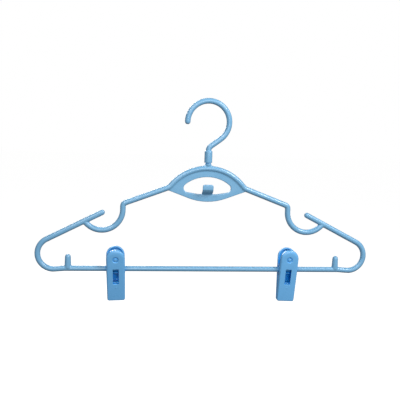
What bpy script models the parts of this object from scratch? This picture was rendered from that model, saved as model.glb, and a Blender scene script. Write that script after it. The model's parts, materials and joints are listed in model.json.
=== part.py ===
"""Moulded plastic skirt hanger with a swivelling hook and two spring clips that slide on its bar.

Metres, +Z up. The hanger stands in the XZ plane with its front towards -Y. The origin is the place
where the hook rests on a rod, on the swivel axis. Heights below are measured up from the lowest
centreline of the end loops, and clip dimensions from the clip's own pivot, which is the bar's axis.
"""
from math import atan2, ceil, cos, degrees, pi, radians, sin, sqrt, tan

import bmesh
import bpy
from mathutils import Matrix, Vector

# Whole hanger
SEAT_HEIGHT = 0.2075
TUBE_RADIUS = 0.0035
BAR_RADIUS = 0.0034
BAR_RISE = 0.0010
BAR_END_X = 0.1735
TUBE_RESOLUTION = 8
ARC_STEP = 6.0
ROUND_END_ANGLES = (90.0, 65.0, 40.0, 18.0)

# End loops and arms
END_X = 0.1866
END_RADIUS = 0.0197
ARM_SLOPE = 27.0
PRONG_TIP_X = 0.1256

# Strap notches and shoulders
NOTCH_X = 0.1290
NOTCH_HEIGHT = 0.0749
NOTCH_RADIUS = 0.0255
NOTCH_START = -34.6
NOTCH_END_FACTOR = 0.9
SHOULDER_HEIGHT = 0.0827
SHOULDER_SLOPE = 20.6
SHOULDER_BEND = 0.0050

# Arch over the eye, and the thin web that frames the eye
ARCH_HEIGHT = 0.0707
ARCH_RADIUS = 0.0575
ARCH_BLEND = 0.0120
WEB_HALF_THICKNESS = 0.0017
WEB_EDGE = 0.0004
WEB_BOTTOM = 0.0866
WEB_BOTTOM_RADIUS = 0.0670
WEB_BOTTOM_ANGLE = 20.3
WEB_END_X = 0.0475
EYE_TOP = 0.1175
EYE_TOP_RADIUS = 0.0441
EYE_BOTTOM = 0.0957
EYE_BOTTOM_RADIUS = 0.1258
EYE_CORNER_X = 0.0242
EYE_CORNER_HEIGHT = 0.1036
EYE_CORNER_RADIUS = 0.0053

# Small accessory hook that rises from the eye's lower edge
LIP_HALF_WIDTH = 0.0066
LIP_THICKNESS = 0.0024
LIP_TOP = 0.1090
LIP_REACH = 0.0088
LIP_CORNER = 0.0020
LIP_ROOT = 0.0022
LIP_LEAN_START = 0.0002
LIP_LEAN_END = 0.0042
LIP_STAND = 0.0070
LIP_KNEE = 0.0020
LIP_HEEL = 0.0012

# Pegs that stop the clips
PEG_X = 0.1695
PEG_BASE_RADIUS = 0.0041
PEG_TOP_RADIUS = 0.0036
PEG_HEIGHT = 0.0180
PEG_SKIRT = 0.0010
PEG_ROOT_RADIUS = 0.0024

# Neck, swivel pin and the hook's collar
NECK_RADIUS = 0.0039
NECK_FLARE = 0.0068
NECK_TOP = 0.1345
NECK_ROOT = 0.1300
NECK_ROOT_RADIUS = 0.0028
NECK_LAND = 0.0014
FLARE_STEP = 15
FLARE_DROP = 0.0008
FLARE_SINK = 0.0003
FLARE_INSET = 0.0004
FLARE_HALF_THICKNESS = 0.0024
PIN_RADIUS = 0.0026
BARB_RADIUS = 0.00335
BARB_HEIGHT = 0.1413
BARB_TIP_RADIUS = 0.0019
BARB_LAND = 0.0006
PIN_TOP = 0.1452
COLLAR_BOTTOM = 0.1352
COLLAR_TOP = 0.1498
COLLAR_RADIUS = 0.00485
COLLAR_EDGE = 0.0006
BORE_RADIUS = 0.00295
GROOVE_RADIUS = 0.00370
GROOVE_BOTTOM = 0.1409
GROOVE_TOP = 0.1463
GROOVE_LAND = 0.0020
GROOVE_TIP_RADIUS = 0.0022
TURNED_STEPS = 28

# Hook
HOOK_X = -0.0012
HOOK_HEIGHT = 0.1852
HOOK_RADIUS = 0.0258
HOOK_END_ANGLE = 180.0
HOOK_LEAVE_ANGLE = -53.5
HOOK_BEND = 0.0060
HOOK_ROOT = 0.0020

# Clip jaws
JAW_FACE = 0.0090
JAW_SLANT = 6.5
JAW_WALL = 0.0020
JAW_HALF_WIDTH = 0.0115
JAW_FOOT_HALF_WIDTH = 0.0111
JAW_BOTTOM = -0.0405
JAW_SHOULDER = 0.0160
JAW_CROWN = 0.0115
CROWN_STEPS = 15
JAW_CORNER = 0.0025
FOOT_ROLL = 0.0014
SIDE_ROLL = 0.0030
CROWN_ROLL = 0.0052
ROLL_DEPTH = 0.0020
ROLL_STEPS = 5
POCKET_CORNER = 0.0004
JAW_LIP_GAP = 0.0002
FLANGE_GAP = 0.0012
HANDLE_FLANGE = 0.0045
PIVOT_LAND_LOW = 0.0030
PIVOT_LAND_HIGH = 0.0065
PAD_HEIGHT = 0.0045
PAD_STEP_LOW = 0.0006
PAD_STEP_HIGH = 0.0016
TOOTH_DEPTH = 0.0005
TOOTH_HALF_WIDTH = 0.0012
TOOTH_START = 0.0010
TOOTH_PITCH = 0.0012
TOOTH_COUNT = 3
EAR_RADIUS = 0.0062
EAR_BORE = 0.00405
EAR_WIDTH = 0.0021
EAR_PROUD = 0.0001
SADDLE_HALF_WIDTH = 0.0030
TIE_HALF_WIDTH = 0.0029
TIE_HALF_HEIGHT = 0.0050
TIE_REACH = 0.0040
EAR_MOUTH_ANGLE = 50.0
RUNNING_GAP = 0.0004
WINDOW_HALF_WIDTH = 0.0036
WINDOW_TOP = 0.0015
WINDOW_BOTTOM = -0.0184
SHELF_TOP = -0.0165
SHELF_THICKNESS = 0.0015
SHELF_REACH = 0.0047
SHELF_ROOT = 0.0038
SHELF_HALF_WIDTH = 0.0090
DIMPLE_HEIGHT = 0.0151
DIMPLE_RADIUS = 0.00395
DIMPLE_FLOOR_RADIUS = 0.0032
DIMPLE_DEPTH = 0.0012
BOSS_RADIUS = 0.0017
RECESS_FLARE = 0.0003
BOSS_FLARE = 0.0004
GATE_DROP = 0.0038
GATE_RADIUS = 0.0009
GATE_PROUD = 0.0003

# Clip springs
WIRE_RADIUS = 0.0004
COIL_RADIUS = 0.0046
COIL_PITCH = 0.0009
COIL_GAP = 0.0003
COIL_X = -0.0063
POINTS_PER_TURN = 14
LEG_TOP = 0.0170
LEG_TOP_Y = 0.0081
LEG_END_X = 0.0006
LEG_BEND = 0.0010
LEG_SIDESTEP = 0.0008

# Clips at rest: place along the bar, swing about it and tilt in the hanger's plane (degrees)
CLIPS = {
    "left": {"x": -0.1110, "swing": 5.0, "tilt": -2.0},
    "right": {"x": 0.1068, "swing": 0.0, "tilt": 1.7},
}

SHADE_ANGLE = 35.0
MERGE_DISTANCE = 0.000001
CUTTER_REACH = 0.0200
OVERRUN = 0.0010

SKY_BLUE = (0.22, 0.46, 0.78, 1.0)
CLIP_BLUE = (0.14, 0.36, 0.66, 1.0)
STEEL = (0.55, 0.56, 0.58, 1.0)


def clear_scene():
    for obj in list(bpy.data.objects):
        bpy.data.objects.remove(obj)


def new_collection(name):
    collection = bpy.data.collections.new(name)
    bpy.context.scene.collection.children.link(collection)
    return collection


def new_material(name, colour, roughness, metallic):
    material = bpy.data.materials.new(name)
    material.use_nodes = True
    shader = material.node_tree.nodes["Principled BSDF"]
    shader.inputs["Base Color"].default_value = colour
    shader.inputs["Roughness"].default_value = roughness
    shader.inputs["Metallic"].default_value = metallic
    return material


def point(x, height):
    """A point of the hanger's own plane."""
    return Vector((x, 0.0, height))


def direction(angle):
    """A unit vector in the hanger's plane, at an angle in degrees above +X."""
    return Vector((cos(radians(angle)), 0.0, sin(radians(angle))))


def arc(centre, radius, start, end):
    """Points along a circle in the hanger's plane, between two angles in degrees."""
    count = max(2, ceil(abs(end - start) / ARC_STEP))
    return [centre + radius * direction(start + (end - start) * i / count) for i in range(count + 1)]


def bend(corner, incoming, outgoing, radius):
    """An arc that rounds a corner between two headings in degrees."""
    turn = outgoing - incoming
    tangent = radius * tan(radians(abs(turn)) / 2)
    side = 90.0 if turn > 0 else -90.0
    centre = corner - tangent * direction(incoming) + radius * direction(incoming + side)
    return arc(centre, radius, incoming - side, outgoing - side)


def mirrored(points):
    """The same points on the other side of the swivel axis, in reverse order."""
    return [Vector((-p.x, p.y, p.z)) for p in reversed(points)]


def remove_object(obj):
    bpy.data.objects.remove(obj)


def baked(obj):
    """Replace an object by a welded mesh of its evaluated shape."""
    bpy.context.view_layer.update()
    depsgraph = bpy.context.evaluated_depsgraph_get()
    mesh = bpy.data.meshes.new_from_object(obj.evaluated_get(depsgraph))
    solid = bmesh.new()
    solid.from_mesh(mesh)
    bmesh.ops.remove_doubles(solid, verts=solid.verts, dist=MERGE_DISTANCE)
    solid.to_mesh(mesh)
    solid.free()
    name = obj.name
    world = obj.matrix_world.copy()
    remove_object(obj)
    result = bpy.data.objects.new(name, mesh)
    result.matrix_world = world
    workshop.objects.link(result)
    return result


def tube(name, samples, radius, resolution=TUBE_RESOLUTION):
    """A round rod through (point, radius factor) samples, with filled ends."""
    curve = bpy.data.curves.new(name, "CURVE")
    curve.dimensions = "3D"
    curve.bevel_depth = radius
    curve.bevel_resolution = resolution
    curve.use_fill_caps = True
    spline = curve.splines.new("POLY")
    spline.points.add(len(samples) - 1)
    for knot, (place, factor) in zip(spline.points, samples):
        knot.co = (*place, 1.0)
        knot.radius = factor
    obj = bpy.data.objects.new(name, curve)
    workshop.objects.link(obj)
    return baked(obj)


def rounded_tip(end, heading, radius):
    """Samples of a rod's round end, which points along a heading."""
    samples = []
    for angle in ROUND_END_ANGLES:
        back = radius * (1.0 - cos(radians(angle)))
        samples.append((end - back * heading, sin(radians(angle))))
    return samples


def flat_plate(name, outlines, half_thickness, edge=0.0):
    """A plate in the hanger's plane from closed outlines of (x, height), with rounded edges."""
    curve = bpy.data.curves.new(name, "CURVE")
    curve.dimensions = "2D"
    curve.fill_mode = "BOTH"
    curve.extrude = half_thickness - edge
    curve.bevel_depth = edge
    curve.bevel_resolution = 1
    curve.offset = -edge
    for outline in outlines:
        spline = curve.splines.new("POLY")
        spline.points.add(len(outline) - 1)
        for knot, (x, height) in zip(spline.points, outline):
            knot.co = (x, height, 0.0, 1.0)
        spline.use_cyclic_u = True
    obj = bpy.data.objects.new(name, curve)
    workshop.objects.link(obj)
    plate = baked(obj)
    plate.data.transform(Matrix.Rotation(pi / 2, 4, "X"))
    return plate


def side_plate(name, outline, half_width):
    """A plate across the hanger from a closed outline of (y, height)."""
    turn = Matrix(((0, 0, 1, 0), (1, 0, 0, 0), (0, 1, 0, 0), (0, 0, 0, 1)))
    plate = flat_plate(name, [outline], half_width)
    plate.data.transform(turn @ Matrix.Rotation(-pi / 2, 4, "X"))
    return plate


def stacked(name, rings):
    """A solid skinned over a stack of matching closed rings of points."""
    count = len(rings[0])
    faces = [list(range(count)), list(range(len(rings) * count - 1, (len(rings) - 1) * count - 1, -1))]
    for level in range(len(rings) - 1):
        for i in range(count):
            near = level * count + i
            near_next = level * count + (i + 1) % count
            faces += [(near, near + count, near_next + count), (near, near_next + count, near_next)]
    mesh = bpy.data.meshes.new(name)
    mesh.from_pydata([place for ring in rings for place in ring], [], faces)
    obj = bpy.data.objects.new(name, mesh)
    workshop.objects.link(obj)
    return obj


def turned(name, profile, steps=TURNED_STEPS):
    """A solid of revolution about Z from (radius, height) points, top to bottom."""
    mesh = bpy.data.meshes.new(name)
    mesh.from_pydata([(r, 0.0, z) for r, z in profile], [(i, i + 1) for i in range(len(profile) - 1)], [])
    obj = bpy.data.objects.new(name, mesh)
    workshop.objects.link(obj)
    screw = obj.modifiers.new("Turn", "SCREW")
    screw.steps = steps
    screw.render_steps = steps
    screw.use_merge_vertices = True
    screw.merge_threshold = MERGE_DISTANCE
    return baked(obj)


def cross_rod(name, radius, start_x, end_x, steps=TURNED_STEPS):
    """A cylinder along X about the pivot."""
    rod = turned(name, [(0.0, end_x), (radius, end_x), (radius, start_x), (0.0, start_x)], steps)
    rod.data.transform(Matrix.Rotation(pi / 2, 4, "Y"))
    return rod


def box(name, low, high):
    """A rectangular block between two corners."""
    solid = bmesh.new()
    size = Vector(high) - Vector(low)
    middle = (Vector(high) + Vector(low)) / 2
    bmesh.ops.create_cube(solid, size=1.0, matrix=Matrix.Translation(middle) @ Matrix.Diagonal((*size, 1.0)))
    mesh = bpy.data.meshes.new(name)
    solid.to_mesh(mesh)
    solid.free()
    obj = bpy.data.objects.new(name, mesh)
    workshop.objects.link(obj)
    return obj


def combined(base, others, operation):
    """Boolean the other solids into the base one after another, and use them up."""
    for index, other in enumerate(others):
        step = base.modifiers.new(f"{operation}_{index}", "BOOLEAN")
        step.operation = operation
        step.solver = "EXACT"
        step.object = other
    result = baked(base)
    for other in others:
        remove_object(other)
    return result


def arm_point(x):
    """The arm's centreline at a distance from the swivel axis."""
    touch = point(END_X, END_RADIUS) + END_RADIUS * direction(90.0 - ARM_SLOPE)
    return point(x, touch.z + (touch.x - x) * tan(radians(ARM_SLOPE)))


def lower_rod():
    """Bar, end loops and both arms, from one prong tip to the other."""
    loop = arc(point(END_X, END_RADIUS), END_RADIUS, 90.0 - ARM_SLOPE, -90.0)
    heading = -direction(-ARM_SLOPE)
    tip = arm_point(PRONG_TIP_X)
    slim = BAR_RADIUS / TUBE_RADIUS
    prong = list(reversed(rounded_tip(tip, heading, TUBE_RADIUS)))
    right = prong + [(p, 1.0) for p in loop[:-1]]
    right += [(loop[-1], slim), (point(BAR_END_X, BAR_RISE), slim)]
    left = [(Vector((-p.x, p.y, p.z)), factor) for p, factor in reversed(right)]
    return tube("lower_rod", right + left, TUBE_RADIUS)


def arch_blend():
    """Centre of the small reverse bend between the shoulder and the arch."""
    normal = direction(90.0 - SHOULDER_SLOPE)
    outward = direction(-SHOULDER_SLOPE)
    reach = ARCH_RADIUS + ARCH_BLEND
    rise = normal.dot(point(NOTCH_X - NOTCH_RADIUS, SHOULDER_HEIGHT - ARCH_HEIGHT)) + ARCH_BLEND
    return point(0.0, ARCH_HEIGHT) + rise * normal + sqrt(reach ** 2 - rise ** 2) * outward


def half_arch():
    """Centreline from the shoulder's upper end to the top of the arch, on the right."""
    centre = arch_blend()
    toward = point(0.0, ARCH_HEIGHT) - centre
    leave = degrees(atan2(toward.z, toward.x))
    blend = arc(centre, ARCH_BLEND, -90.0 - SHOULDER_SLOPE, leave)
    crown = arc(point(0.0, ARCH_HEIGHT), ARCH_RADIUS, leave + 180.0, 90.0)
    return blend + crown[1:]


def upper_rod():
    """Strap notches, shoulders and arch, from one arm to the other."""
    notch = arc(point(NOTCH_X, NOTCH_HEIGHT), NOTCH_RADIUS, NOTCH_START, -180.0)
    corner = point(NOTCH_X - NOTCH_RADIUS, SHOULDER_HEIGHT)
    shoulder = bend(corner, 90.0, 180.0 - SHOULDER_SLOPE, SHOULDER_BEND)
    half = notch + shoulder + half_arch()
    whole = half[:-1] + mirrored(half)
    last = len(whole) - 1
    samples = [(p, NOTCH_END_FACTOR if i in (0, last) else 1.0) for i, p in enumerate(whole)]
    return tube("upper_rod", samples, TUBE_RADIUS)


def web_outline():
    """Outer edge of the web: the arch's centreline above and its own curved edge below."""
    top = half_arch()
    centre = point(0.0, WEB_BOTTOM + WEB_BOTTOM_RADIUS)
    low = arc(centre, WEB_BOTTOM_RADIUS, -90.0, WEB_BOTTOM_ANGLE - 90.0)
    end = low[-1] + (WEB_END_X - low[-1].x) * point(1.0, tan(radians(WEB_BOTTOM_ANGLE)))
    right = low + [end] + top
    outline = right[:-1] + mirrored(right)[:-1]
    return [(p.x, p.z) for p in outline]


def eye_outline():
    """The eye's opening: two shallow arcs joined by tight corners."""
    corner = point(EYE_CORNER_X, EYE_CORNER_HEIGHT)
    top_centre = point(0.0, EYE_TOP - EYE_TOP_RADIUS)
    low_centre = point(0.0, EYE_BOTTOM + EYE_BOTTOM_RADIUS)
    up = degrees(atan2(corner.z - top_centre.z, corner.x))
    down = degrees(atan2(corner.z - low_centre.z, corner.x))
    low = arc(low_centre, EYE_BOTTOM_RADIUS, -90.0, down)
    side = arc(corner, EYE_CORNER_RADIUS, down, up)
    top = arc(top_centre, EYE_TOP_RADIUS, up, 90.0)
    right = low[:-1] + side + top[1:]
    outline = right[:-1] + mirrored(right)[:-1]
    return [(p.x, p.z) for p in outline]


def eye_web():
    return flat_plate("eye_web", [web_outline(), eye_outline()], WEB_HALF_THICKNESS, WEB_EDGE)


def accessory_lip():
    """A tab that leans forward out of the eye's lower edge and then stands up."""
    half = LIP_THICKNESS / 2
    foot = EYE_BOTTOM - LIP_ROOT
    lean = [
        (0.0, EYE_BOTTOM + LIP_LEAN_START),
        (LIP_KNEE - LIP_REACH, EYE_BOTTOM + LIP_LEAN_END),
        (-LIP_REACH, EYE_BOTTOM + LIP_STAND),
    ]
    front = [(0.0, foot)] + lean + [(-LIP_REACH, LIP_TOP)]
    back = [(0.0, foot)] + [(y, z + LIP_HEEL) for y, z in lean] + [(-LIP_REACH, LIP_TOP)]
    outline = [(y - half, z) for y, z in front] + [(y + half, z) for y, z in reversed(back)]
    lip = side_plate("lip", outline, CUTTER_REACH)
    inner = LIP_HALF_WIDTH - LIP_CORNER
    shape = [(-LIP_HALF_WIDTH, foot - OVERRUN), (LIP_HALF_WIDTH, foot - OVERRUN)]
    for x, start in ((inner, 0.0), (-inner, 90.0)):
        corner = arc(point(x, LIP_TOP - LIP_CORNER), LIP_CORNER, start, start + 90.0)
        shape += [(p.x, p.z) for p in corner]
    trim = flat_plate("lip_trim", [shape], CUTTER_REACH)
    return combined(lip, [trim], "INTERSECT")


def peg(x):
    """A round-topped stud on the bar."""
    crown = [
        (PEG_TOP_RADIUS * cos(radians(a)), PEG_HEIGHT - PEG_TOP_RADIUS * (1.0 - sin(radians(a))))
        for a in ROUND_END_ANGLES + (0.0,)
    ]
    foot = [(PEG_BASE_RADIUS, PEG_SKIRT), (PEG_ROOT_RADIUS, -PEG_SKIRT), (0.0, -PEG_SKIRT)]
    stud = turned("peg", crown + foot)
    stud.data.transform(Matrix.Translation((x, 0.0, BAR_RISE)))
    return stud


def swivel_pin():
    """Neck with the barbed pin that snaps into the hook's collar."""
    profile = [
        (0.0, PIN_TOP),
        (BARB_TIP_RADIUS, PIN_TOP),
        (BARB_RADIUS, BARB_HEIGHT + BARB_LAND),
        (BARB_RADIUS, BARB_HEIGHT),
        (PIN_RADIUS, BARB_HEIGHT),
        (PIN_RADIUS, NECK_TOP),
        (NECK_RADIUS, NECK_TOP),
        (NECK_RADIUS, NECK_TOP - NECK_LAND),
        (NECK_ROOT_RADIUS, NECK_ROOT),
        (0.0, NECK_ROOT),
    ]
    return turned("swivel_pin", profile)


def neck_flare():
    """Fillets that spread the neck into the arch on both sides."""
    foot = ARCH_HEIGHT + ARCH_RADIUS
    base = foot + TUBE_RADIUS - FLARE_SINK
    rise = NECK_TOP - FLARE_DROP - base
    spread = NECK_FLARE - NECK_RADIUS + FLARE_INSET
    side = [
        (NECK_FLARE - spread * sin(radians(a)), base + rise * (1.0 - cos(radians(a))))
        for a in range(0, 91, FLARE_STEP)
    ]
    outline = [(-NECK_FLARE, foot), (NECK_FLARE, foot)] + side + [(-x, z) for x, z in reversed(side)]
    return flat_plate("neck_flare", [outline], FLARE_HALF_THICKNESS)


def frame_mesh():
    others = [upper_rod(), lower_rod(), accessory_lip(), peg(PEG_X), peg(-PEG_X), neck_flare(), swivel_pin()]
    return combined(eye_web(), others, "UNION").data


def hook_rod():
    """Hook from its collar to its round tip."""
    centre = point(HOOK_X, HOOK_HEIGHT)
    leave = centre + HOOK_RADIUS * direction(HOOK_LEAVE_ANGLE)
    slope = HOOK_LEAVE_ANGLE + 90.0
    corner = point(0.0, leave.z - leave.x * tan(radians(slope)))
    stem = bend(corner, 90.0, slope, HOOK_BEND)
    bow = arc(centre, HOOK_RADIUS, HOOK_LEAVE_ANGLE, HOOK_END_ANGLE)
    tip = bow[-1] - point(0.0, TUBE_RADIUS)
    samples = [(p, 1.0) for p in [point(0.0, COLLAR_TOP - HOOK_ROOT)] + stem + bow[:-1]]
    samples += rounded_tip(tip, point(0.0, -1.0), TUBE_RADIUS)
    return tube("hook_rod", samples, TUBE_RADIUS)


def collar():
    profile = [
        (0.0, COLLAR_TOP),
        (COLLAR_RADIUS - COLLAR_EDGE, COLLAR_TOP),
        (COLLAR_RADIUS, COLLAR_TOP - COLLAR_EDGE),
        (COLLAR_RADIUS, COLLAR_BOTTOM + COLLAR_EDGE / 2),
        (COLLAR_RADIUS - COLLAR_EDGE / 2, COLLAR_BOTTOM),
        (0.0, COLLAR_BOTTOM),
    ]
    return turned("collar", profile)


def collar_bore():
    """Blind bore with the groove that holds the pin's barb."""
    profile = [
        (0.0, GROOVE_TOP),
        (GROOVE_TIP_RADIUS, GROOVE_TOP),
        (GROOVE_RADIUS, GROOVE_BOTTOM + GROOVE_LAND),
        (GROOVE_RADIUS, GROOVE_BOTTOM),
        (BORE_RADIUS, GROOVE_BOTTOM),
        (BORE_RADIUS, COLLAR_BOTTOM - OVERRUN),
        (0.0, COLLAR_BOTTOM - OVERRUN),
    ]
    return turned("collar_bore", profile)


def hook_mesh():
    body = combined(collar(), [hook_rod()], "UNION")
    return combined(body, [collar_bore()], "DIFFERENCE").data


def jaw_outline(foot_inset, side_inset, crown_inset, foot_z):
    """Front view of a jaw: arched top, square foot with small round corners."""
    crown_x = JAW_HALF_WIDTH - side_inset
    crown_z = JAW_CROWN - crown_inset
    foot_x = JAW_FOOT_HALF_WIDTH - foot_inset
    radius = max(JAW_CORNER - foot_inset, POCKET_CORNER)
    right = [(p.x, p.z) for p in arc(point(foot_x - radius, foot_z + radius), radius, -90.0, 0.0)]
    right.append((JAW_HALF_WIDTH - (foot_inset + side_inset) / 2, 0.0))
    for step in range(CROWN_STEPS):
        turn = radians(90.0 * step / CROWN_STEPS)
        right.append((crown_x * cos(turn), JAW_SHOULDER + crown_z * sin(turn)))
    left = [(-x, z) for x, z in reversed(right)]
    return right + [(0.0, JAW_SHOULDER + crown_z)] + left


def slant():
    """Turns an upright front plate to its slope about the pivot."""
    return Matrix.Rotation(radians(JAW_SLANT), 4, "X")


def face_depth():
    """Distance from the pivot to the jaw's outer face, square to the face."""
    return JAW_FACE * cos(radians(JAW_SLANT))


def jaw_block():
    """Full-depth jaw, before it is hollowed; its face rolls over widely round the crown."""
    rings = []
    for step in range(ROLL_STEPS + 1):
        turn = radians(90.0 * step / ROLL_STEPS)
        inset = 1.0 - sin(turn)
        foot_inset = FOOT_ROLL * inset
        outline = jaw_outline(foot_inset, SIDE_ROLL * inset, CROWN_ROLL * inset, JAW_BOTTOM + foot_inset)
        depth = ROLL_DEPTH * (1.0 - cos(turn)) - face_depth()
        rings.append([(x, depth, z) for x, z in outline])
    rings.append([(x, 2 * JAW_FACE - face_depth(), z) for x, _, z in rings[-1]])
    block = stacked("block", rings)
    block.data.transform(slant())
    return block


def jaw_pocket():
    outline = jaw_outline(JAW_WALL, JAW_WALL, JAW_WALL, JAW_BOTTOM + PAD_HEIGHT)
    pocket = flat_plate("pocket", [outline], CUTTER_REACH)
    pocket.data.transform(slant() @ Matrix.Translation((0.0, CUTTER_REACH + JAW_WALL - face_depth(), 0.0)))
    return pocket


def rear_trim():
    """Removes what lies behind the flanges' rear edges."""
    lean = tan(radians(JAW_SLANT))
    rim = -JAW_FACE + HANDLE_FLANGE
    foot = JAW_BOTTOM + PAD_HEIGHT
    below = JAW_BOTTOM - OVERRUN
    above = JAW_SHOULDER + JAW_CROWN + OVERRUN
    outline = [
        (-JAW_LIP_GAP, below),
        (-JAW_LIP_GAP, foot + PAD_STEP_LOW),
        (-FLANGE_GAP, foot + PAD_STEP_HIGH),
        (-FLANGE_GAP, PIVOT_LAND_LOW),
        (rim - lean * PIVOT_LAND_HIGH, PIVOT_LAND_HIGH),
        (rim - lean * above, above),
        (CUTTER_REACH, above),
        (CUTTER_REACH, below),
    ]
    return side_plate("rear_trim", outline, CUTTER_REACH)


def teeth():
    """V grooves across the gripping pad."""
    grooves = []
    for index in range(TOOTH_COUNT):
        z = JAW_BOTTOM + TOOTH_START + TOOTH_PITCH * index
        shape = [
            (-JAW_LIP_GAP - TOOTH_DEPTH, z),
            (OVERRUN, z - TOOTH_HALF_WIDTH),
            (OVERRUN, z + TOOTH_HALF_WIDTH),
        ]
        grooves.append(side_plate("groove", shape, CUTTER_REACH))
    return grooves


def on_face(solid, height):
    """Turn a solid made about Z to point out of the jaw's sloping face at a height."""
    place = Matrix.Translation((0.0, -face_depth(), height / cos(radians(JAW_SLANT))))
    solid.data.transform(slant() @ place @ Matrix.Rotation(pi / 2, 4, "X"))
    return solid


def dimple():
    """Ring-shaped recess that leaves a small boss in its middle."""
    profile = [
        (DIMPLE_RADIUS + RECESS_FLARE, RECESS_FLARE),
        (DIMPLE_FLOOR_RADIUS, -DIMPLE_DEPTH),
        (BOSS_RADIUS + BOSS_FLARE, -DIMPLE_DEPTH),
        (BOSS_RADIUS, RECESS_FLARE),
        (DIMPLE_RADIUS + RECESS_FLARE, RECESS_FLARE),
    ]
    return on_face(turned("dimple", profile), DIMPLE_HEIGHT)


def gate_mark():
    """The low stub that the moulding gate leaves below the window."""
    profile = [
        (0.0, GATE_PROUD),
        (GATE_RADIUS / 2, GATE_PROUD),
        (GATE_RADIUS, 0.0),
        (GATE_RADIUS, -GATE_PROUD),
        (0.0, -GATE_PROUD),
    ]
    return on_face(turned("gate_mark", profile), WINDOW_BOTTOM - GATE_DROP)


def jaw_shell():
    """What both jaws share: the hollow plate with flanges, pad, teeth and dimple."""
    shell = combined(jaw_block(), [jaw_pocket(), rear_trim()], "DIFFERENCE")
    return combined(shell, teeth() + [dimple()], "DIFFERENCE")


def ear_mouth():
    """Wedge that opens the ears behind the bar, so that they press onto it."""
    reach = EAR_RADIUS + PIVOT_LAND_LOW
    rise = reach * tan(radians(EAR_MOUTH_ANGLE))
    return side_plate("mouth", [(0.0, 0.0), (reach, -rise), (reach, rise)], CUTTER_REACH)


def window():
    return box(
        "window",
        (-WINDOW_HALF_WIDTH, -CUTTER_REACH, WINDOW_BOTTOM),
        (WINDOW_HALF_WIDTH, -JAW_FACE + JAW_WALL * 2, WINDOW_TOP),
    )


def front_jaw_mesh():
    """Jaw with a window; its flanges carry the outer ears."""
    inner = JAW_HALF_WIDTH - EAR_WIDTH
    outer = JAW_HALF_WIDTH + EAR_PROUD
    ears = [cross_rod("ear", EAR_RADIUS, inner, outer), cross_rod("ear", EAR_RADIUS, -outer, -inner)]
    bore = cross_rod("bore", EAR_BORE, -CUTTER_REACH, CUTTER_REACH)
    jaw = combined(jaw_shell(), ears + [gate_mark()], "UNION")
    return combined(jaw, [bore, ear_mouth(), window()], "DIFFERENCE").data


def saddle():
    """Wide middle ear and the web that ties it to the back plate."""
    ear = cross_rod("ear", EAR_RADIUS, -SADDLE_HALF_WIDTH, SADDLE_HALF_WIDTH)
    tie = box(
        "tie",
        (-TIE_HALF_WIDTH, -JAW_FACE + JAW_WALL / 2, -TIE_HALF_HEIGHT),
        (TIE_HALF_WIDTH, -TIE_REACH, TIE_HALF_HEIGHT),
    )
    return [ear, tie]


def back_jaw_mesh():
    """Plain jaw with a shelf inside; its saddle holds the bar between the front jaw's ears."""
    clear = EAR_RADIUS + RUNNING_GAP
    inner = JAW_HALF_WIDTH - EAR_WIDTH - RUNNING_GAP
    reliefs = [
        cross_rod("relief", clear, inner, CUTTER_REACH),
        cross_rod("relief", clear, -CUTTER_REACH, -inner),
    ]
    shelf = box(
        "shelf",
        (-SHELF_HALF_WIDTH, -JAW_FACE + SHELF_ROOT, SHELF_TOP - SHELF_THICKNESS),
        (SHELF_HALF_WIDTH, SHELF_REACH, SHELF_TOP),
    )
    jaw = combined(jaw_shell(), reliefs, "DIFFERENCE")
    jaw = combined(jaw, saddle() + [shelf], "UNION")
    bore = cross_rod("bore", EAR_BORE, -CUTTER_REACH, CUTTER_REACH)
    jaw = combined(jaw, [bore, ear_mouth()], "DIFFERENCE")
    jaw.data.transform(Matrix.Rotation(pi, 4, "Z"))
    return jaw.data


def winding(start_x, start_angle):
    """One turn of a helix about the bar; angles run from +Y towards +Z."""
    points = []
    for index in range(POINTS_PER_TURN + 1):
        angle = radians(start_angle + 360.0 * index / POINTS_PER_TURN)
        x = start_x + COIL_PITCH * index / POINTS_PER_TURN
        points.append(Vector((x, COIL_RADIUS * cos(angle), COIL_RADIUS * sin(angle))))
    return points


def wire(name, points):
    return tube(name, [(p, 1.0) for p in points], WIRE_RADIUS, 2).data


def coil_mesh():
    """Middle turn of the spring, which stays square to the bar."""
    return wire("coil", winding(COIL_X - COIL_PITCH / 2, 180.0))


def leg_points(start_x, facing):
    """End turn of the spring and its leg, which presses behind the dimple of one handle."""
    loop = winding(start_x, 0.0)
    if facing == "front":
        loop = [Vector((2 * start_x + COIL_PITCH - p.x, -p.y, p.z)) for p in loop]
    x = loop[-1].x
    y = loop[-1].y
    side = y / abs(y)
    return loop + [
        Vector((x, side * (LEG_TOP_Y - WIRE_RADIUS / 2), LEG_TOP - LEG_BEND)),
        Vector((x + LEG_SIDESTEP, side * LEG_TOP_Y, LEG_TOP)),
        Vector((LEG_END_X, side * LEG_TOP_Y, LEG_TOP)),
    ]


def leg_mesh(facing):
    """One end of the spring: the front leg is on the coil's -X side, the back leg on its +X side."""
    apart = COIL_PITCH + 2 * WIRE_RADIUS + COIL_GAP
    side = -1 if facing == "front" else 1
    start = COIL_X - COIL_PITCH / 2 + side * apart
    return wire("leg", leg_points(start, facing))


def add_part(name, mesh, material, parent):
    """Put a finished mesh in the hanger's collection under its parent."""
    mesh.shade_smooth()
    mesh.set_sharp_from_angle(angle=radians(SHADE_ANGLE))
    if not mesh.materials:
        mesh.materials.append(material)
    part = bpy.data.objects.new(name, mesh)
    part.parent = parent
    hanger.objects.link(part)
    return part


def add_empty(name, parent, location):
    empty = bpy.data.objects.new(name, None)
    empty.parent = parent
    empty.location = location
    hanger.objects.link(empty)
    return empty


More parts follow.
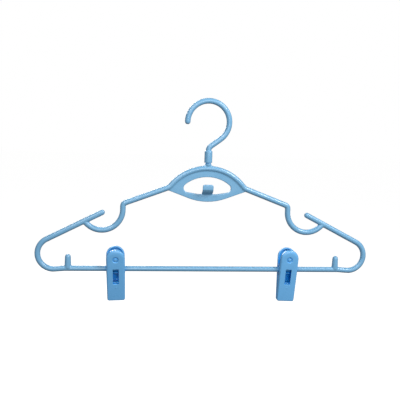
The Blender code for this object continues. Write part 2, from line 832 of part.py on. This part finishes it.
def add_clips(bar_axis):
    """Both clips, from one set of mouldings and springs."""
    plastic = new_material("clip_plastic", CLIP_BLUE, 0.38, 0.0)
    wire = new_material("spring_steel", STEEL, 0.30, 1.0)
    jaws = {"front_jaw": front_jaw_mesh(), "back_jaw": back_jaw_mesh()}
    legs = {"spring_front_leg": leg_mesh("front"), "spring_back_leg": leg_mesh("back")}
    coil = coil_mesh()
    for side, rest in CLIPS.items():
        place = add_empty(f"{side}_clip", bar_axis, (rest["x"], 0.0, 0.0))
        hang = add_empty(f"{side}_clip_hang", place, (0.0, 0.0, 0.0))
        hang.rotation_euler = (radians(rest["swing"]), radians(rest["tilt"]), 0.0)
        add_part(f"{side}_clip_spring_coil", coil, wire, place)
        for name, mesh in jaws.items():
            add_part(f"{side}_clip_{name}", mesh, plastic, hang)
        for name, mesh in legs.items():
            add_part(f"{side}_clip_{name}", mesh, wire, hang)


clear_scene()
hanger = new_collection("clothes_hanger")
workshop = new_collection("workshop")
base = add_empty("base", None, (0.0, 0.0, -SEAT_HEIGHT))
bar_axis = add_empty("bar_axis", base, (0.0, 0.0, BAR_RISE))
frame_plastic = new_material("frame_plastic", SKY_BLUE, 0.32, 0.0)
add_part("hook", hook_mesh(), frame_plastic, base)
add_part("frame", frame_mesh(), frame_plastic, base)
add_clips(bar_axis)
for leftover in list(workshop.objects):
    remove_object(leftover)
bpy.data.collections.remove(workshop)
bpy.context.view_layer.update()
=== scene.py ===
"""Looks of a moulded plastic skirt hanger: finished mouldings, materials, floor, lights and camera.

Metres, +Z up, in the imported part's frame: the hook's seat is the origin and the front faces -Y.
"""
import json
from math import radians

import bpy
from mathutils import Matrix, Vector

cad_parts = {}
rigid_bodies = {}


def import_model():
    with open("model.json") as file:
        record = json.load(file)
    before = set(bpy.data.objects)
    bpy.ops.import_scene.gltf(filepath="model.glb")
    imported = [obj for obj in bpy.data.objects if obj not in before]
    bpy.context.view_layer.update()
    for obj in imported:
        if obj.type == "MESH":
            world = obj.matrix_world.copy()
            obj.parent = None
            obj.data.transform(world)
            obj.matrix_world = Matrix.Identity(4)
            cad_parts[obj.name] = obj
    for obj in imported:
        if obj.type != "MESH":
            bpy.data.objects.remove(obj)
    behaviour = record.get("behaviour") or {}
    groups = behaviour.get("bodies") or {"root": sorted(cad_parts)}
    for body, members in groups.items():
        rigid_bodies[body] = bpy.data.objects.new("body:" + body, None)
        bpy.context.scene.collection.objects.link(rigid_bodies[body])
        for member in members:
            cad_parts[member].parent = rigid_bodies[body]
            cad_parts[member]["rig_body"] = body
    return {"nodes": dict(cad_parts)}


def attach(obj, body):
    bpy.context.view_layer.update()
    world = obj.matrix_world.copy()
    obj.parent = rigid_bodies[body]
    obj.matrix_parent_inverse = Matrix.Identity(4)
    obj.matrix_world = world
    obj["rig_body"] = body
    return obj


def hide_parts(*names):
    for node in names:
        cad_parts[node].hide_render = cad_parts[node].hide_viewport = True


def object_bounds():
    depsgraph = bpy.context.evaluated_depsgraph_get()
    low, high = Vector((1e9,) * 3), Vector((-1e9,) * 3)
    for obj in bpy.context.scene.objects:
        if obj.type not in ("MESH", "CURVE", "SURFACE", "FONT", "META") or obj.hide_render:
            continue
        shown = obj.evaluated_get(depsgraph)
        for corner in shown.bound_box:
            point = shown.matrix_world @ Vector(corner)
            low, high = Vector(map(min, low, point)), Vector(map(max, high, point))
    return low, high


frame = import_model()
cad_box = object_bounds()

# Finished mouldings: voxel size, smoothing passes and the share of faces kept
FRAME_SKIN = {"voxel": 0.00055, "passes": 5, "share": 0.30}
HOOK_SKIN = {"voxel": 0.00040, "passes": 5, "share": 0.35}
JAW_SKIN = {"voxel": 0.00028, "passes": 4, "share": 0.16}
SMOOTH_FACTOR = 0.5
WIRE_LEVELS = 2

# Surface colours, linear
SKY_BLUE = (0.180, 0.402, 0.620, 1.0)
SKY_BLUE_DEEP = (0.157, 0.370, 0.588, 1.0)
CLIP_BLUE = (0.150, 0.430, 0.775, 1.0)
CLIP_BLUE_DEEP = (0.130, 0.400, 0.740, 1.0)
# Painted shade and painted light: deeper blues laid into hollows and creases, standing in for the shade
# there and for light passing through the plastic
SKY_BLUE_PAINTED_SHADE = (0.020, 0.340, 0.760, 1.0)
CLIP_BLUE_PAINTED_SHADE = (0.000, 0.310, 0.820, 1.0)
STEEL = (0.56, 0.57, 0.59, 1.0)
STEEL_DARK = (0.40, 0.41, 0.43, 1.0)
FLOOR_WHITE = (0.42, 0.42, 0.42, 1.0)
FLOOR_SHADE = (0.40, 0.40, 0.40, 1.0)
FLOOR_GLOW = 0.93

# Plastic surface: noise scales are per metre, depths and reaches in metres
FLOW_SCALE = 22.0
SPECKLE_SCALE = 900.0
SPECKLE_SHARE = 0.35
WEAR_POINTINESS = (0.52, 0.62)
WEAR_SHARE = 0.35
WORN_WHITENESS = 0.2
# Reach of the occlusion mask that lays the painted shade into hollows, and the openness range over which
# it fades out
FRAME_PAINTED_SHADE_REACH = 0.012
CLIP_PAINTED_SHADE_REACH = 0.020
PAINTED_SHADE_OPENNESS = (0.25, 0.92)
GLOSS = 0.26
GLOSS_SCALE = 160.0
SCUFF_SCALE = (3500.0, 3500.0, 90.0)
SCUFF_TURN = (0.5, 0.9, 0.2)
SCUFF_PATCH_SCALE = 55.0
SCUFF_ROUGHNESS = 0.18
SCUFF_DEPTH = 0.00002
PEEL_SCALE = 750.0
PEEL_DEPTH = 0.00002
PARTING_LINE_EDGES = (0.00004, 0.00022)
PARTING_LINE_HEIGHT = 0.00010
PLASTIC_IOR = 1.49
COAT_WEIGHT = 0.12
COAT_ROUGHNESS = 0.18

# Wire surface
STAIN_SCALE = 400.0
WIRE_ROUGHNESS = (0.22, 0.38)
DRAWN_LINE_SCALE = 6000.0
DRAWN_LINE_DEPTH = 0.00001
WELD_REACH = 0.00001

# Stage
FLOOR_DROP = 0.30
FLOOR_SIZE = 12.0
CAMERA_PLACE = (-0.1156, -0.8536, 0.0053)
CAMERA_TURN = (81.785, -1.999, -6.861)
CAMERA_LENS = 63.0
CAMERA_SENSOR = 36.0
SKY_SEEN = 1.0
SKY_LIGHT = 0.14

# Lamps, all aimed at the middle of the hanger: place, size and power
LAMPS = {
    "left_key": ((-0.46, -0.56, 0.44), 0.36, 2.9),
    "right_key": ((0.58, -0.50, 0.46), 0.36, 7.4),
    "front": ((0.05, -1.30, 0.20), 0.60, 6.4),
    "rear": ((-0.30, 1.20, 0.35), 0.60, 9.0),
}


def add_node(tree, kind, values=None, **settings):
    """A shader node with its plain settings and its unlinked input values."""
    node = tree.nodes.new(kind)
    for key, value in settings.items():
        setattr(node, key, value)
    for key, value in (values or {}).items():
        node.inputs[key].default_value = value
    return node


def new_material(name):
    """An empty node material: its tree, its Principled shader and its object-space coordinates."""
    material = bpy.data.materials.new(name)
    material.use_nodes = True
    tree = material.node_tree
    shader = tree.nodes["Principled BSDF"]
    place = add_node(tree, "ShaderNodeTexCoord").outputs["Object"]
    return material, tree, shader, place


def noise(tree, place, scale, detail, roughness=0.5):
    node = add_node(
        tree, "ShaderNodeTexNoise", {"Scale": scale, "Detail": detail, "Roughness": roughness}
    )
    tree.links.new(place, node.inputs["Vector"])
    return node.outputs["Fac"]


def ranged(tree, value, low, high, out_low, out_high):
    """A value carried smoothly from one range to another."""
    node = add_node(
        tree,
        "ShaderNodeMapRange",
        {"From Min": low, "From Max": high, "To Min": out_low, "To Max": out_high},
        interpolation_type="SMOOTHSTEP",
    )
    tree.links.new(value, node.inputs["Value"])
    return node.outputs["Result"]


def mixed(tree, share, first, second):
    """Two colours, plain or linked, mixed by a linked share."""
    node = add_node(tree, "ShaderNodeMix", data_type="RGBA")
    tree.links.new(share, node.inputs["Factor"])
    for socket, colour in ((node.inputs[6], first), (node.inputs[7], second)):
        if isinstance(colour, tuple):
            socket.default_value = colour
        else:
            tree.links.new(colour, socket)
    return node.outputs[2]


def calculated(tree, operation, first, second):
    """The result of a sum on two values, plain or linked."""
    node = add_node(tree, "ShaderNodeMath", operation=operation)
    for socket, value in zip(node.inputs, (first, second)):
        if isinstance(value, float):
            socket.default_value = value
        else:
            tree.links.new(value, socket)
    return node.outputs["Value"]


def bumped(tree, height, distance, strength, below=None):
    node = add_node(tree, "ShaderNodeBump", {"Distance": distance, "Strength": strength})
    tree.links.new(height, node.inputs["Height"])
    if below is not None:
        tree.links.new(below, node.inputs["Normal"])
    return node.outputs["Normal"]


def scratches(tree, place):
    """Sparse hairline scuffs: noise drawn out along one direction and cut high."""
    stretch = add_node(tree, "ShaderNodeMapping", {"Rotation": SCUFF_TURN, "Scale": SCUFF_SCALE})
    tree.links.new(place, stretch.inputs["Vector"])
    lines = noise(tree, stretch.outputs["Vector"], 1.0, 2.0)
    patches = noise(tree, place, SCUFF_PATCH_SCALE, 2.0)
    sharp = ranged(tree, lines, 0.66, 0.78, 0.0, 1.0)
    return calculated(tree, "MULTIPLY", sharp, ranged(tree, patches, 0.48, 0.62, 0.0, 1.0))


def plastic_colour(tree, place, light, deep, painted_shade_colour, painted_shade_reach):
    """Flow marks and speckle, paler worn edges, and painted shade: a deeper blue in hollows and creases
    that stands in for their shade and for light passing through the plastic.
    """
    flow = ranged(tree, noise(tree, place, FLOW_SCALE, 3.0), 0.35, 0.65, 0.0, 1.0)
    speckle = ranged(tree, noise(tree, place, SPECKLE_SCALE, 2.0), 0.30, 0.70, 0.0, SPECKLE_SHARE)
    colour = mixed(tree, calculated(tree, "MULTIPLY", flow, speckle), light, deep)
    pointiness = add_node(tree, "ShaderNodeNewGeometry").outputs["Pointiness"]
    edge = ranged(tree, pointiness, *WEAR_POINTINESS, 0.0, WEAR_SHARE)
    worn = tuple((1.0 - WORN_WHITENESS) * value + WORN_WHITENESS for value in light)
    colour = mixed(tree, edge, colour, worn)
    # Painted shade: an occlusion mask mixes in the deeper blue where hollows and creases are shaded
    painted_shade_occlusion = add_node(tree, "ShaderNodeAmbientOcclusion", {"Distance": painted_shade_reach}, samples=8)
    painted_shade_share = ranged(tree, painted_shade_occlusion.outputs["AO"], *PAINTED_SHADE_OPENNESS, 1.0, 0.0)
    return mixed(tree, painted_shade_share, colour, painted_shade_colour)


def parting_ridge(tree, place, below):
    """The fine raised line that the two mould halves leave in the hanger's plane."""
    side = add_node(tree, "ShaderNodeSeparateXYZ")
    tree.links.new(place, side.inputs["Vector"])
    off = calculated(tree, "ABSOLUTE", side.outputs["Y"], 0.0)
    ridge = ranged(tree, off, *PARTING_LINE_EDGES, 1.0, 0.0)
    return bumped(tree, ridge, PARTING_LINE_HEIGHT, 0.8, below)


def moulded_plastic(name, light, deep, painted_shade_colour, painted_shade_reach, parting_line):
    """Satin moulded plastic: flow marks, orange peel, hairline scuffs, worn edges and painted shade in
    hollows.
    """
    material, tree, shader, place = new_material(name)
    colour = plastic_colour(tree, place, light, deep, painted_shade_colour, painted_shade_reach)
    tree.links.new(colour, shader.inputs["Base Color"])

    scuffs = scratches(tree, place)
    uneven = ranged(tree, noise(tree, place, GLOSS_SCALE, 3.0), 0.30, 0.70, GLOSS - 0.05, GLOSS + 0.06)
    duller = calculated(tree, "MULTIPLY", scuffs, SCUFF_ROUGHNESS)
    tree.links.new(calculated(tree, "ADD", uneven, duller), shader.inputs["Roughness"])

    peel = bumped(tree, noise(tree, place, PEEL_SCALE, 2.0), PEEL_DEPTH, 0.15)
    normal = bumped(tree, calculated(tree, "SUBTRACT", 1.0, scuffs), SCUFF_DEPTH, 0.4, peel)
    if parting_line:
        normal = parting_ridge(tree, place, normal)
    tree.links.new(normal, shader.inputs["Normal"])
    shader.inputs["IOR"].default_value = PLASTIC_IOR
    shader.inputs["Coat Weight"].default_value = COAT_WEIGHT
    shader.inputs["Coat Roughness"].default_value = COAT_ROUGHNESS
    return material


def drawn_steel():
    """Bright drawn spring wire with faint oil stains."""
    material, tree, shader, place = new_material("drawn_steel")
    stain = ranged(tree, noise(tree, place, STAIN_SCALE, 3.0), 0.35, 0.65, 0.0, 1.0)
    tree.links.new(mixed(tree, stain, STEEL, STEEL_DARK), shader.inputs["Base Color"])
    tree.links.new(ranged(tree, stain, 0.0, 1.0, *WIRE_ROUGHNESS), shader.inputs["Roughness"])
    lines = noise(tree, place, DRAWN_LINE_SCALE, 2.0)
    tree.links.new(bumped(tree, lines, DRAWN_LINE_DEPTH, 0.5), shader.inputs["Normal"])
    shader.inputs["Metallic"].default_value = 1.0
    return material


def pale_floor():
    """A clouded white that glows, so that it reads as white without any lamp reaching it."""
    material, tree, shader, place = new_material("pale_floor")
    cloud = noise(tree, place, 1.5, 2.0)
    tree.links.new(mixed(tree, cloud, FLOOR_WHITE, FLOOR_SHADE), shader.inputs["Base Color"])
    shader.inputs["Roughness"].default_value = 0.9
    shader.inputs["Emission Color"].default_value = (1.0, 1.0, 1.0, 1.0)
    shader.inputs["Emission Strength"].default_value = FLOOR_GLOW
    material.cycles.emission_sampling = "NONE"
    return material


def evaluated(piece):
    """The piece's own mesh becomes what its modifiers make, and the modifiers go."""
    bpy.context.view_layer.update()
    depsgraph = bpy.context.evaluated_depsgraph_get()
    mesh = bpy.data.meshes.new_from_object(piece.evaluated_get(depsgraph))
    piece.modifiers.clear()
    piece.data = mesh
    return mesh


def stand_in(node, material, suffix):
    """A new piece with a copy of a CAD node's mesh and one material."""
    source = frame["nodes"][node]
    piece = bpy.data.objects.new(f"{node}_{suffix}", source.data.copy())
    bpy.context.scene.collection.objects.link(piece)
    piece.data.materials.clear()
    piece.data.materials.append(material)
    return piece


def placed(piece, node):
    """The piece rides on its node's body and replaces the node."""
    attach(piece, frame["nodes"][node]["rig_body"])
    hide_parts(node)


def moulding(node, material, skin):
    """The node's finished moulding: a fine skin whose edges and junctions are softly rounded."""
    piece = stand_in(node, material, "moulding")
    fine = piece.modifiers.new("Skin", "REMESH")
    fine.mode = "VOXEL"
    fine.voxel_size = skin["voxel"]
    soft = piece.modifiers.new("Soften", "SMOOTH")
    soft.factor = SMOOTH_FACTOR
    soft.iterations = skin["passes"]
    lean = piece.modifiers.new("Lean", "DECIMATE")
    lean.ratio = skin["share"]
    evaluated(piece).shade_smooth()
    if not piece.data.materials:
        piece.data.materials.append(material)
    placed(piece, node)


def spring_wire(node, material):
    """The node's wire, rounded by subdivision."""
    piece = stand_in(node, material, "wire")
    weld = piece.modifiers.new("Weld", "WELD")
    weld.merge_threshold = WELD_REACH
    fine = piece.modifiers.new("Fine", "SUBSURF")
    fine.levels = WIRE_LEVELS
    fine.render_levels = WIRE_LEVELS
    evaluated(piece).shade_smooth()
    placed(piece, node)


def add_floor():
    lowest = cad_box[0].z
    bpy.ops.mesh.primitive_plane_add(size=FLOOR_SIZE, location=(0.0, 0.0, lowest - FLOOR_DROP))
    floor = bpy.context.object
    floor.name = "floor"
    floor.data.materials.append(pale_floor())
    floor.visible_diffuse = False
    floor.visible_glossy = False


def add_softbox(name, place, aim, size, power):
    """A square area lamp that looks at a point."""
    lamp = bpy.data.lights.new(name, "AREA")
    lamp.size = size
    lamp.energy = power
    obj = bpy.data.objects.new(name, lamp)
    obj.location = place
    obj.rotation_euler = (Vector(aim) - Vector(place)).to_track_quat("-Z", "Y").to_euler()
    bpy.context.scene.collection.objects.link(obj)


def add_sky():
    """A world that the camera sees as white, and that lights the hanger more softly."""
    world = bpy.data.worlds.new("studio")
    world.use_nodes = True
    tree = world.node_tree
    seen = tree.nodes["Background"]
    seen.inputs["Color"].default_value = (1.0, 1.0, 1.0, 1.0)
    seen.inputs["Strength"].default_value = SKY_SEEN
    light = add_node(tree, "ShaderNodeBackground", {"Color": (1.0, 1.0, 1.0, 1.0), "Strength": SKY_LIGHT})
    ray = add_node(tree, "ShaderNodeLightPath")
    choice = add_node(tree, "ShaderNodeMixShader")
    tree.links.new(ray.outputs["Is Camera Ray"], choice.inputs["Fac"])
    tree.links.new(light.outputs["Background"], choice.inputs[1])
    tree.links.new(seen.outputs["Background"], choice.inputs[2])
    tree.links.new(choice.outputs["Shader"], tree.nodes["World Output"].inputs["Surface"])
    bpy.context.scene.world = world


def add_lights():
    middle = (cad_box[0] + cad_box[1]) / 2
    for name, (place, size, power) in LAMPS.items():
        add_softbox(name, place, middle, size, power)


def add_camera():
    camera = bpy.data.objects.new("camera", bpy.data.cameras.new("camera"))
    camera.location = CAMERA_PLACE
    camera.rotation_euler = [radians(angle) for angle in CAMERA_TURN]
    camera.data.lens = CAMERA_LENS
    camera.data.sensor_width = CAMERA_SENSOR
    bpy.context.scene.collection.objects.link(camera)
    bpy.context.scene.camera = camera


def add_hanger():
    body_plastic = moulded_plastic(
        "frame_plastic", SKY_BLUE, SKY_BLUE_DEEP, SKY_BLUE_PAINTED_SHADE, FRAME_PAINTED_SHADE_REACH, True
    )
    clip_plastic = moulded_plastic(
        "clip_plastic", CLIP_BLUE, CLIP_BLUE_DEEP, CLIP_BLUE_PAINTED_SHADE, CLIP_PAINTED_SHADE_REACH, False
    )
    steel = drawn_steel()
    moulding("frame", body_plastic, FRAME_SKIN)
    moulding("hook", body_plastic, HOOK_SKIN)
    for side in ("left", "right"):
        for jaw in ("front_jaw", "back_jaw"):
            moulding(f"{side}_clip_{jaw}", clip_plastic, JAW_SKIN)
        for wire in ("coil", "front_leg", "back_leg"):
            spring_wire(f"{side}_clip_spring_{wire}", steel)


add_hanger()
add_floor()
add_sky()
add_lights()
add_camera()
bpy.context.scene.view_settings.view_transform = "Standard"
